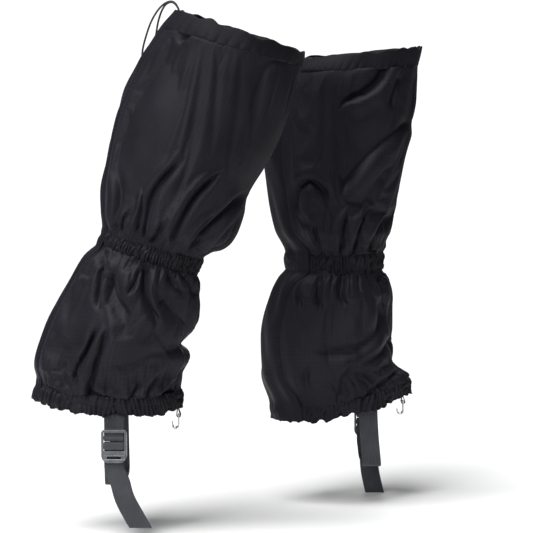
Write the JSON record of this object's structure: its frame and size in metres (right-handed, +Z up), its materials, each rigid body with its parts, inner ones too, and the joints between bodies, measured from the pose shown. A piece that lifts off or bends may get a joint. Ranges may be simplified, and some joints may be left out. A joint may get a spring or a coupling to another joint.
{
  "type": "hiking gaiters",
  "caption": "Pair of knee-high ripstop hiking gaiters with gathered elastic waist, drawcord top hem, rear touch-tape flap, lace hook and under-foot strap with ladder-lock buckle.",
  "frame": {"origin": "middle of the right gaiter's waist elastic", "axes": "+X to the toes, +Y to the wearer's left, +Z up"},
  "size_m": [0.4039, 0.2953, 0.5344],
  "materials": {
    "ripstop": "satin ripstop weave, coated",
    "casing_fabric": "gathered ripstop over elastic",
    "lining": "plain taffeta",
    "elastic": "knitted elastic",
    "touch_tape": "hook-and-loop pile",
    "webbing": "flat woven webbing",
    "tab_tape": "narrow woven tape",
    "buckle_plastic": "moulded acetal, satin to glossy",
    "hook_metal": "nickel-plated steel",
    "cord": "braided elastic cord",
    "lock_plastic": "moulded, fine texture",
    "spring_wire": "spring wire"
  },
  "bodies": {
    "root": {"right_top_hem": "casing_fabric", "right_hem_drawcord": "cord", "right_calf_panel": "ripstop", "right_waist_casing": "casing_fabric", "right_waist_elastic": "elastic", "right_waist_lining": "lining", "right_ankle_panel": "ripstop", "right_bottom_cuff": "casing_fabric", "right_bottom_elastic": "elastic", "right_storm_flap": "ripstop", "right_lower_hook_tape": "touch_tape", "right_upper_hook_tape": "touch_tape", "right_lower_loop_tape": "touch_tape", "right_upper_loop_tape": "touch_tape", "right_buckle_hanger": "webbing", "right_underfoot_strap": "webbing", "right_hook_tab": "tab_tape", "left_top_hem": "casing_fabric", "left_hem_drawcord": "cord", "left_calf_panel": "ripstop", "left_waist_casing": "casing_fabric", "left_waist_elastic": "elastic", "left_waist_lining": "lining", "left_ankle_panel": "ripstop", "left_bottom_cuff": "casing_fabric", "left_bottom_elastic": "elastic", "left_storm_flap": "ripstop", "left_lower_hook_tape": "touch_tape", "left_upper_hook_tape": "touch_tape", "left_lower_loop_tape": "touch_tape", "left_upper_loop_tape": "touch_tape", "left_buckle_hanger": "webbing", "left_underfoot_strap": "webbing", "left_hook_tab": "tab_tape", "right_drawcord_loop": "cord", "right_cord_lock_barrel": "lock_plastic"},
    "right_buckle": {"right_buckle": "buckle_plastic", "right_strap_tail": "webbing"},
    "left_buckle": {"left_buckle": "buckle_plastic", "left_strap_tail": "webbing"},
    "right_lace_hook": {"right_lace_hook": "hook_metal"},
    "left_lace_hook": {"left_lace_hook": "hook_metal"},
    "cord_lock_button": {"right_cord_lock_plunger": "lock_plastic", "right_cord_lock_spring": "spring_wire"}
  },
  "joints": [
    {"name": "right_buckle_tilt", "type": "hinge", "parent": "root", "child": "right_buckle", "pos_m": [-0.0358, -0.0443, -0.1818], "axis": [-1, 0, 0], "range_deg": [0, 20]},
    {"name": "right_hook_swing", "type": "hinge", "parent": "root", "child": "right_lace_hook", "pos_m": [0.027, 0, -0.165], "axis": [0, -1, 0], "range_deg": [-45, 70]},
    {"name": "left_buckle_tilt", "type": "hinge", "parent": "root", "child": "left_buckle", "pos_m": [0.2243, 0.2125, -0.1968], "axis": [1, 0, 0], "range_deg": [0, 20]},
    {"name": "left_hook_swing", "type": "hinge", "parent": "root", "child": "left_lace_hook", "pos_m": [0.2628, 0.175, -0.177], "axis": [0, -1, 0], "range_deg": [-45, 70]},
    {"name": "cord_lock_press", "type": "slide", "parent": "root", "child": "cord_lock_button", "axis": [-0.7202, -0.6501, 0.2423], "range_m": [0, 0.0035], "stiffness_N_per_m": 350, "springref_m": -0.003, "deforming": ["right_cord_lock_spring"]}
  ]
}
